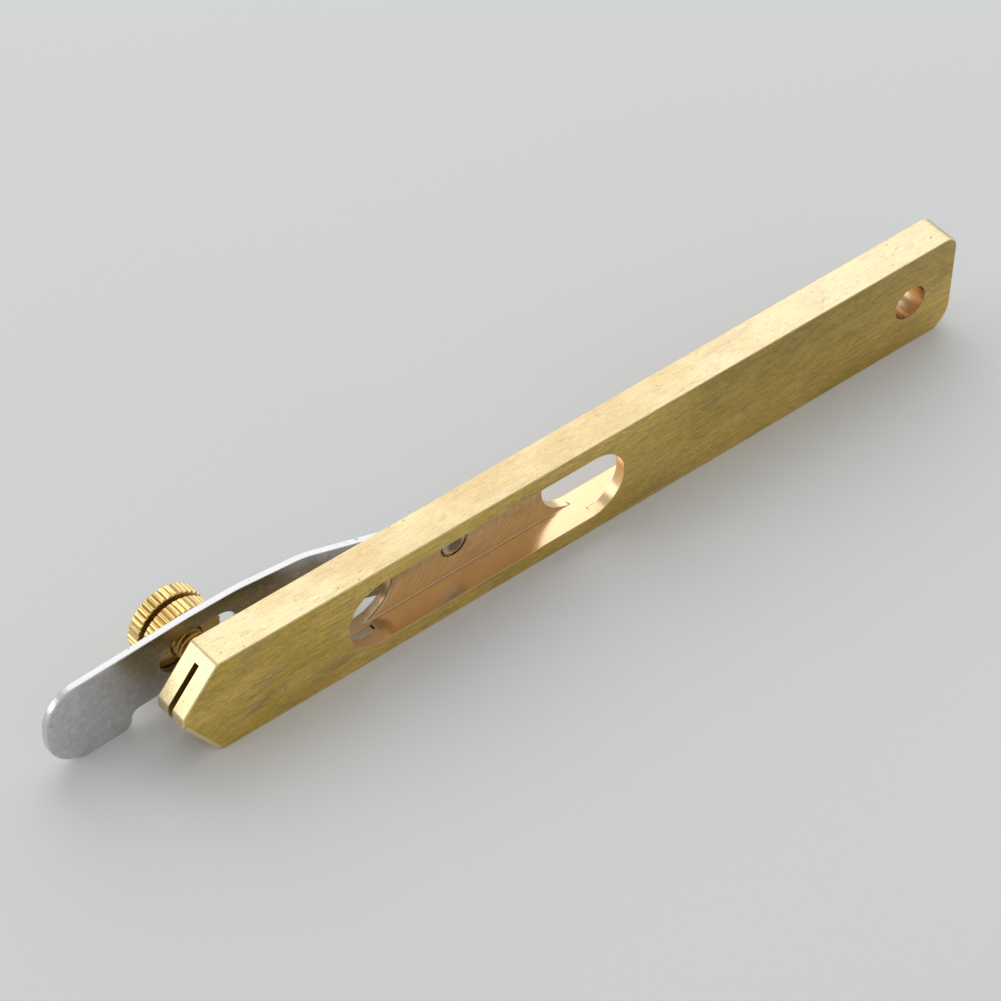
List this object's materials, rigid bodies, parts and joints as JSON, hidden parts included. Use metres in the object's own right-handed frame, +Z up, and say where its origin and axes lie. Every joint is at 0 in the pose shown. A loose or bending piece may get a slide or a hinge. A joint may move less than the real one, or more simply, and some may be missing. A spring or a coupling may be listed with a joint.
{
  "type": "marking gauge",
  "caption": "Brass bar marking gauge with a knife blade in its slit nose and a sprung steel fence set by a knurled nut.",
  "frame": {"origin": "on the bar's lower narrow edge, at the middle of its length and of its thickness", "axes": "+X along the bar from the nose to the butt, +Y out of the face that carries the fence, +Z up"},
  "size_m": [0.1346, 0.0156, 0.015],
  "materials": {
    "brass_bar": "lengthwise brushed, worn",
    "brass_turned": "turned and straight knurled",
    "spring_steel": "satin with bright sheared edges",
    "screw_steel": "bright",
    "blade_steel": "ground"
  },
  "bodies": {
    "bar": {"bar": "brass_bar", "leaf_root": "spring_steel", "leaf_neck": "spring_steel", "leaf_screw": "screw_steel"},
    "fence": {"fence_plate": "spring_steel"},
    "nut": {"thumb_nut": "brass_turned"},
    "clamp": {"clamp_screw": "brass_turned"},
    "blade": {"blade": "blade_steel"}
  },
  "joints": [
    {"name": "fence_travel", "type": "slide", "parent": "bar", "child": "fence", "axis": [0, 1, 0], "range_m": [-0.004, 0.0006], "deforming": ["leaf_neck"]},
    {"name": "nut_turn", "type": "hinge", "parent": "fence", "child": "nut", "pos_m": [-0.05245, 0.0082, 0.0075], "axis": [0, 1, 0], "range_deg": [-2060, 310]},
    {"name": "clamp_turn", "type": "hinge", "parent": "bar", "child": "clamp", "pos_m": [-0.05245, 0.0131, 0.0075], "axis": [0, 1, 0], "range_deg": [0, 90]},
    {"name": "blade_slide", "type": "slide", "parent": "bar", "child": "blade", "axis": [-1, 0, 0], "range_m": [0, 0.006]}
  ],
  "couplings": [
    {"joint": "nut_turn", "follows": "fence_travel", "rad_per_m": 8976}
  ]
}
